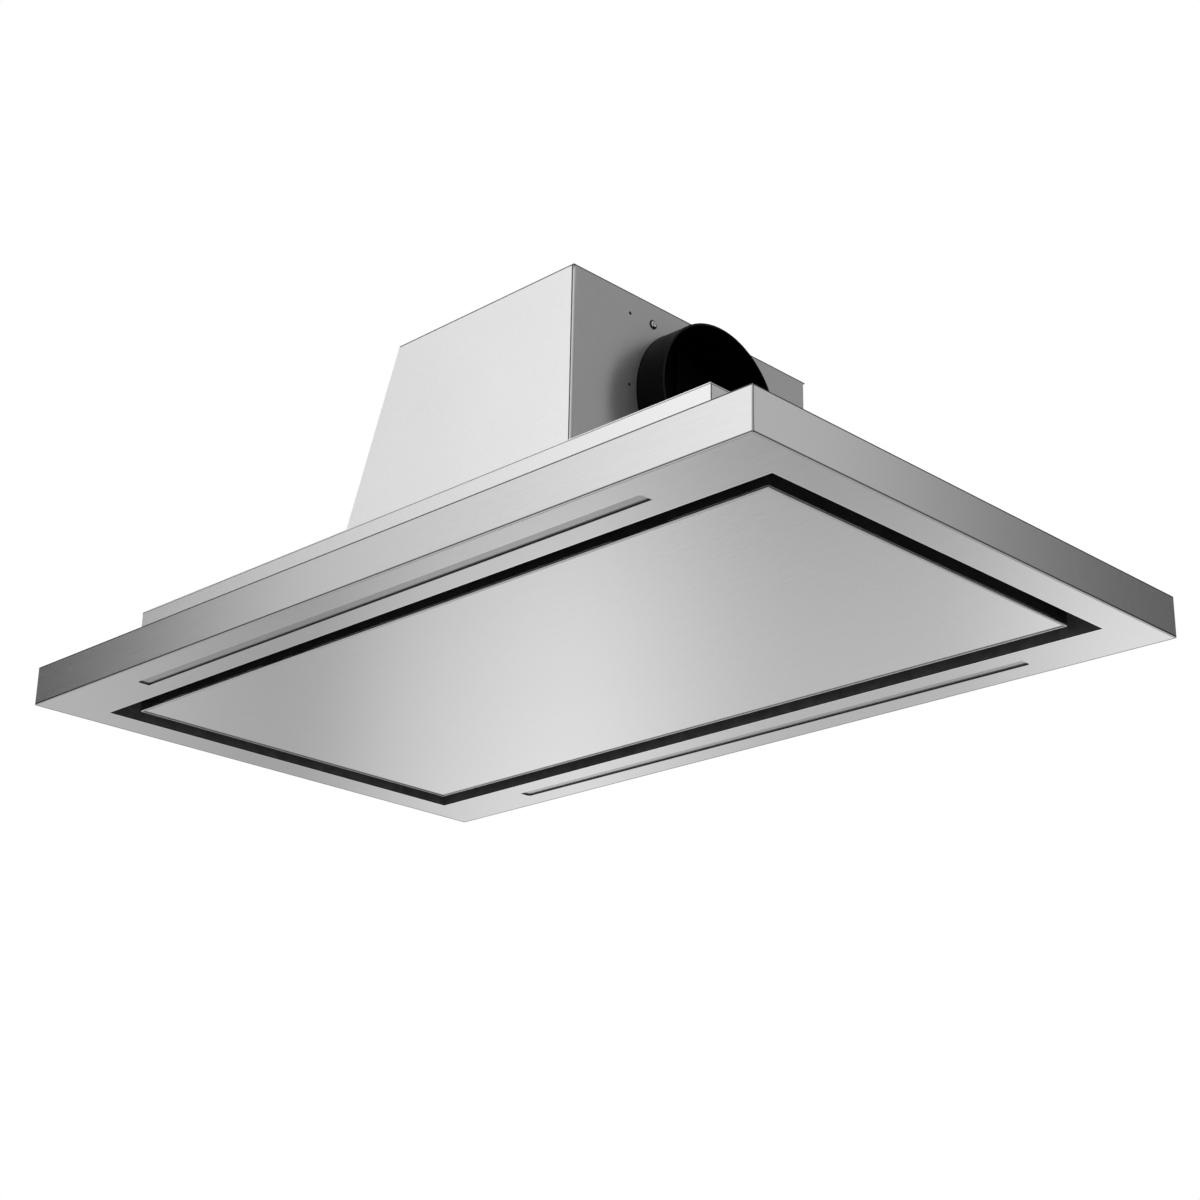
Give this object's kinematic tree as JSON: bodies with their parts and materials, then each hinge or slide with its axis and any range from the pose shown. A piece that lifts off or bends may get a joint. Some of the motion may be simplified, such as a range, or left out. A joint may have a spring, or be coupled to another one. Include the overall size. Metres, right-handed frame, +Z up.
{
  "type": "ceiling range hood",
  "caption": "Flush ceiling range hood: brushed steel canopy, hinged perimeter-suction panel, filters behind it, blower in a motor box above and a round side duct collar.",
  "frame": {"origin": "centre of the four ceiling rod holes, on the top face of the plenum's deck", "axes": "+X along the canopy's length, the way the duct collar points; +Y towards the panel's hinges; +Z up, towards the ceiling"},
  "size_m": [1.2, 0.74, 0.4024],
  "materials": {
    "brushed_stainless": "brushed along the length",
    "pale_sheet": "pale grey coated sheet",
    "black_paint": "satin black paint",
    "zinc_sheet": "zinc coated sheet",
    "black_plastic": "moulded black plastic",
    "latch_plastic": "moulded black plastic",
    "filter_aluminium": "folded aluminium",
    "mesh_aluminium": "expanded aluminium mesh",
    "bright_steel": "bright plated steel",
    "motor_grey": "grey enamel",
    "fan_zinc": "zinc coated sheet",
    "black_rubber": "matt rubber",
    "lead_jacket": "soft plastic sheath",
    "board_green": "coated circuit board",
    "capacitor_white": "smooth plastic can",
    "light_board_white": "white coated board",
    "diffuser": "frosted, unlit"
  },
  "bodies": {
    "hood_body": {"bottom_flange": "brushed_stainless", "front_fascia": "brushed_stainless", "rear_fascia": "brushed_stainless", "left_fascia": "brushed_stainless", "right_fascia": "brushed_stainless", "canopy_top": "pale_sheet", "inlet_frame": "black_paint", "plenum_front": "brushed_stainless", "plenum_rear": "brushed_stainless", "plenum_left": "brushed_stainless", "plenum_right": "brushed_stainless", "plenum_deck": "pale_sheet", "hanger_brackets": "zinc_sheet", "filter_rails": "zinc_sheet", "grease_filter_1": "filter_aluminium", "grease_filter_2": "filter_aluminium", "grease_filter_3": "filter_aluminium", "filter_meshes": "mesh_aluminium", "latch_spring_1": "bright_steel", "latch_spring_2": "bright_steel", "latch_spring_3": "bright_steel", "motor_box_front": "pale_sheet", "motor_box_rear": "pale_sheet", "motor_box_outlet": "pale_sheet", "motor_box_slope": "pale_sheet", "motor_box_lid": "pale_sheet", "duct_collar": "black_plastic", "damper_pin": "bright_steel", "scroll_wrapper": "zinc_sheet", "scroll_top": "zinc_sheet", "scroll_bottom": "zinc_sheet", "outlet_adapter": "zinc_sheet", "blower_motor": "motor_grey", "blower_feet": "zinc_sheet", "rubber_mounts": "black_rubber", "control_box": "zinc_sheet", "control_box_cover": "zinc_sheet", "control_board": "board_green", "run_capacitor": "capacitor_white", "cable_gland": "latch_plastic", "motor_lead": "lead_jacket", "light_housings": "black_paint", "light_boards": "light_board_white", "light_diffusers": "diffuser", "hinge_brackets": "black_paint", "hinge_pins": "bright_steel", "catch_magnets": "black_paint", "screws": "bright_steel"},
    "perimeter_panel": {"panel_face": "brushed_stainless", "panel_tray": "black_paint", "hinge_arms": "black_paint"},
    "fan_wheel": {"fan_hub": "fan_zinc", "fan_blades": "fan_zinc", "fan_inlet_ring": "fan_zinc", "motor_shaft": "bright_steel"},
    "damper_front": {"damper_flap_front": "black_plastic"},
    "damper_rear": {"damper_flap_rear": "black_plastic"},
    "filter_latch_left": {"filter_latch_1": "latch_plastic"},
    "filter_latch_middle": {"filter_latch_2": "latch_plastic"},
    "filter_latch_right": {"filter_latch_3": "latch_plastic"}
  },
  "joints": [
    {"name": "panel_hinge", "type": "hinge", "parent": "hood_body", "child": "perimeter_panel", "pos_m": [0, 0.2535, -0.086], "axis": [1, 0, 0], "range_deg": [0, 90]},
    {"name": "fan_spin", "type": "hinge", "parent": "hood_body", "child": "fan_wheel", "pos_m": [0.01485, 0.08673, 0.2558], "axis": [0, 0, 1], "continuous": true},
    {"name": "damper_front_swing", "type": "hinge", "parent": "hood_body", "child": "damper_front", "pos_m": [0.166, 0, 0.163], "axis": [0, 0, 1], "range_deg": [0, 70], "stiffness_Nm_per_rad": 0.01, "springref_deg": -11.46},
    {"name": "damper_rear_swing", "type": "hinge", "parent": "hood_body", "child": "damper_rear", "pos_m": [0.166, 0, 0.163], "axis": [0, 0, -1], "range_deg": [0, 70], "stiffness_Nm_per_rad": 0.01, "springref_deg": -11.46},
    {"name": "filter_latch_left_slide", "type": "slide", "parent": "hood_body", "child": "filter_latch_left", "axis": [0, 1, 0], "range_m": [0, 0.008], "stiffness_N_per_m": 500, "springref_m": -0.004, "deforming": ["latch_spring_1"]},
    {"name": "filter_latch_middle_slide", "type": "slide", "parent": "hood_body", "child": "filter_latch_middle", "axis": [0, 1, 0], "range_m": [0, 0.008], "stiffness_N_per_m": 500, "springref_m": -0.004, "deforming": ["latch_spring_2"]},
    {"name": "filter_latch_right_slide", "type": "slide", "parent": "hood_body", "child": "filter_latch_right", "axis": [0, 1, 0], "range_m": [0, 0.008], "stiffness_N_per_m": 500, "springref_m": -0.004, "deforming": ["latch_spring_3"]}
  ]
}
